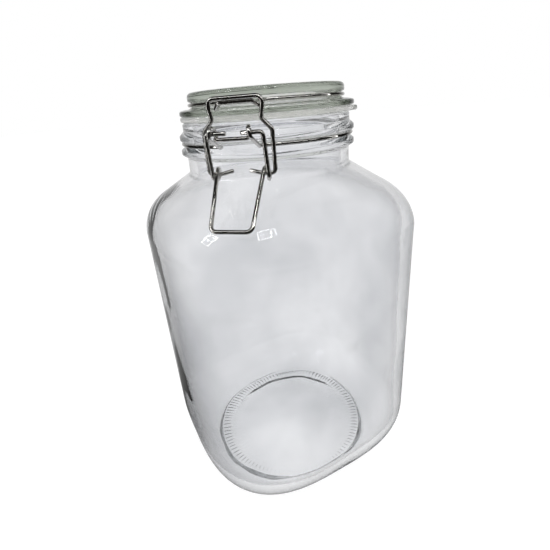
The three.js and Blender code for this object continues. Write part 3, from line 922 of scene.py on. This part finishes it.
# Each piece with its node, its body, its slot and how far to +X its side play lets it lie.
PIECES = (
    (jar_body, "jar_body", "jar", "body_glass", 0),
    (neck_wire, "neck_wire", "jar", "wire_steel", 0),
    (lid, "lid", "lid_body", "lid_glass", LID_SIDE_PLAY),
    (gasket, "gasket", "lid_body", "seal_rubber", LID_SIDE_PLAY),
    (lid_wire, "lid_wire", "lid_body", "wire_steel", LID_SIDE_PLAY),
    (lever, "lever", "lever_body", "wire_steel", SIDE_PLAY),
    (bail_link, "bail_link", "link_body", "wire_steel", SIDE_PLAY),
)

# The strip lamps light this collection only.
wires = bpy.data.collections.new("wires")

for make, node, body, slot, sideways in PIECES:
    piece = make()
    piece.data.transform(Matrix.Translation((sideways * MM, 0, 0)))
    piece.data.materials.append(FINISHES[slot])
    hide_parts(node)
    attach(piece, body)
    if slot == "wire_steel":
        wires.objects.link(piece)

# ---- Floor, lights and camera --------------------------------------------------------------------

# Lengths in metres and angles in degrees, but the sensor's width in millimetres.
FLOOR_SIZE = 12
FLOOR_GREY = 0.3
FLOOR_GLOW = 0.76

# The camera stands a little to the clamp's right, level with the lid, and looks down at the jar.
CAMERA_AZIMUTH = 15.3
CAMERA_PITCH = 20.6
CAMERA_ROLL = -4.5
CAMERA_YAW = -0.1
CAMERA_DISTANCE = 0.2342
CAMERA_HEIGHT = 0.2337
SENSOR_WIDTH = 36
FOCAL_SHARE = 0.6935  # focal length over the picture's width
SHIFT_DOWN = -0.0545

# The dark room that mirrored rays see; it brightens as a ray points more closely behind the jar.
ROOM_DARK = (0.012, 0.011, 0.01)
ROOM_BRIGHT = (0.8, 0.8, 0.8)
ROOM_BRIGHTENS_AT = 0.6
ROOM_BRIGHTEST_AT = 0.97

# The windows, each lit along its frame and one bar: name, azimuth and elevation.
WINDOW_DISTANCE = 1.6
WINDOW_WIDTH = 0.28
WINDOW_HEIGHT = 0.44
WINDOW_FRAME = 0.02
WINDOW_RADIANCE = 18
WINDOWS = (
    ("left_window", -56, 44),
    ("right_window", 27, 61),
)

# The lamps for the wires: name, azimuth, elevation, width and height.
STRIP_DISTANCE = 0.4
STRIP_RADIANCE = 6
STRIPS = (
    ("left_strip", -50, 0, 0.035, 1.2),
    ("right_strip", 110, 0, 0.02, 1.2),
    ("upper_strip", 15, 50, 1.2, 0.03),
)


def glowing_matt(name, grey, glow):
    """A matt grey that gives off a little white light of its own."""
    material, _, _, shader = new_material(name)
    shader.inputs["Base Color"].default_value = (grey, grey, grey, 1)
    shader.inputs["Roughness"].default_value = 1
    shader.inputs["Emission Color"].default_value = (*WHITE, 1)
    shader.inputs["Emission Strength"].default_value = glow
    return material


def studio_floor():
    """A floor that stays pale right round the jar, and that nothing mirrors."""
    half = FLOOR_SIZE / 2 / MM
    corners = [(-half, -half, 0), (half, -half, 0), (half, half, 0), (-half, half, 0)]
    made = make_object("floor", corners, [(0, 1, 2, 3)], smooth=False)
    made.data.materials.append(glowing_matt("floor_pale", FLOOR_GREY, FLOOR_GLOW))
    made.visible_glossy = False


def towards(azimuth, elevation):
    """The direction of an azimuth and elevation in degrees; 0 is the front, 90 is +X."""
    a, e = math.radians(azimuth), math.radians(elevation)
    return Vector((math.sin(a) * math.cos(e), -math.cos(a) * math.cos(e), math.sin(e)))


def softbox(name, azimuth, elevation, distance, width, height, radiance, aside=(0, 0)):
    """An area light that faces the jar's middle, moved aside in its own plane."""
    data = bpy.data.lights.new(name, "AREA")
    data.shape = "RECTANGLE"
    data.size = width
    data.size_y = height
    data.energy = radiance * math.pi * width * height
    lamp = bpy.data.objects.new(name, data)
    direction = towards(azimuth, elevation)
    turn = direction.to_track_quat("Z", "Y")
    middle = (cad_box[0] + cad_box[1]) / 2
    lamp.location = middle + direction * distance + turn @ Vector((*aside, 0))
    lamp.rotation_mode = "QUATERNION"
    lamp.rotation_quaternion = turn
    bpy.context.scene.collection.objects.link(lamp)
    return lamp


def alignment(nodes, links, direction, azimuth, elevation):
    """How closely a direction of the world points at an azimuth and elevation, from -1 to 1."""
    node = nodes.new("ShaderNodeVectorMath")
    node.operation = "DOT_PRODUCT"
    node.inputs[1].default_value = towards(azimuth, elevation)
    links.new(direction, node.inputs[0])
    return node.outputs["Value"]


def studio_world():
    """White all round for what is seen or lit, and a dark room for what is mirrored.

    The room is bright only behind the jar, so that the glass doesn't get a dark outline.
    """
    world = bpy.data.worlds.new("studio")
    world.use_nodes = True
    nodes = world.node_tree.nodes
    links = world.node_tree.links
    direction = nodes.new("ShaderNodeTexCoord").outputs["Generated"]
    behind = alignment(nodes, links, direction, CAMERA_AZIMUTH + 180, 0)
    room = nodes["Background"]
    shade = ramp(nodes, links, behind, ROOM_DARK, ROOM_BRIGHT, ROOM_BRIGHTENS_AT, ROOM_BRIGHTEST_AT)
    links.new(shade, room.inputs["Color"])
    white = nodes.new("ShaderNodeBackground")
    white.inputs["Color"].default_value = (*WHITE, 1)
    path = nodes.new("ShaderNodeLightPath")
    mirrored = nodes.new("ShaderNodeMath")
    mirrored.operation = "SUBTRACT"
    mirrored.use_clamp = True
    links.new(path.outputs["Is Glossy Ray"], mirrored.inputs[0])
    links.new(path.outputs["Is Transmission Ray"], mirrored.inputs[1])
    choice = nodes.new("ShaderNodeMixShader")
    links.new(mirrored.outputs["Value"], choice.inputs["Fac"])
    links.new(white.outputs["Background"], choice.inputs[1])
    links.new(room.outputs["Background"], choice.inputs[2])
    links.new(choice.outputs["Shader"], nodes["World Output"].inputs["Surface"])
    return world


def window(name, azimuth, elevation):
    """A window lit along its frame, whose reflection is a small outline with a bar in it."""
    edge = WINDOW_WIDTH / 2
    for side in (-1, 1):
        upright = (WINDOW_FRAME, WINDOW_HEIGHT, WINDOW_RADIANCE, (side * edge, 0))
        softbox(f"{name}_upright_{side}", azimuth, elevation, WINDOW_DISTANCE, *upright)
    for row in (-1, 0, 1):
        bar = (WINDOW_WIDTH, WINDOW_FRAME, WINDOW_RADIANCE, (0, row * WINDOW_HEIGHT / 2))
        softbox(f"{name}_bar_{row}", azimuth, elevation, WINDOW_DISTANCE, *bar)


def wire_strip(name, azimuth, elevation, width, height):
    """A long thin lamp that only the wires mirror, for a bright line along each of them."""
    strip = softbox(name, azimuth, elevation, STRIP_DISTANCE, width, height, STRIP_RADIANCE)
    strip.light_linking.receiver_collection = wires


def add_camera():
    """The camera in its place, aimed by its heading, pitch and roll."""
    data = bpy.data.cameras.new("camera")
    data.sensor_width = SENSOR_WIDTH
    data.lens = SENSOR_WIDTH * FOCAL_SHARE
    data.shift_y = SHIFT_DOWN
    data.clip_start = 0.01
    camera = bpy.data.objects.new("camera", data)
    bpy.context.scene.collection.objects.link(camera)
    bpy.context.scene.camera = camera
    heading = math.radians(CAMERA_AZIMUTH) - math.radians(CAMERA_YAW)
    look = Matrix.Rotation(heading, 4, "Z")
    look @= Matrix.Rotation(math.pi / 2 - math.radians(CAMERA_PITCH), 4, "X")
    look @= Matrix.Rotation(math.radians(CAMERA_ROLL), 4, "Z")
    place = towards(CAMERA_AZIMUTH, 0) * CAMERA_DISTANCE
    camera.matrix_world = Matrix.Translation(place + Vector((0, 0, CAMERA_HEIGHT))) @ look


studio_floor()
bpy.context.scene.world = studio_world()
bpy.context.scene.view_settings.view_transform = "Standard"
bpy.context.scene.cycles.max_bounces = 32
bpy.context.scene.cycles.glossy_bounces = 24
bpy.context.scene.cycles.transmission_bounces = 32

for view in WINDOWS:
    window(*view)
for lamp in STRIPS:
    wire_strip(*lamp)
add_camera()
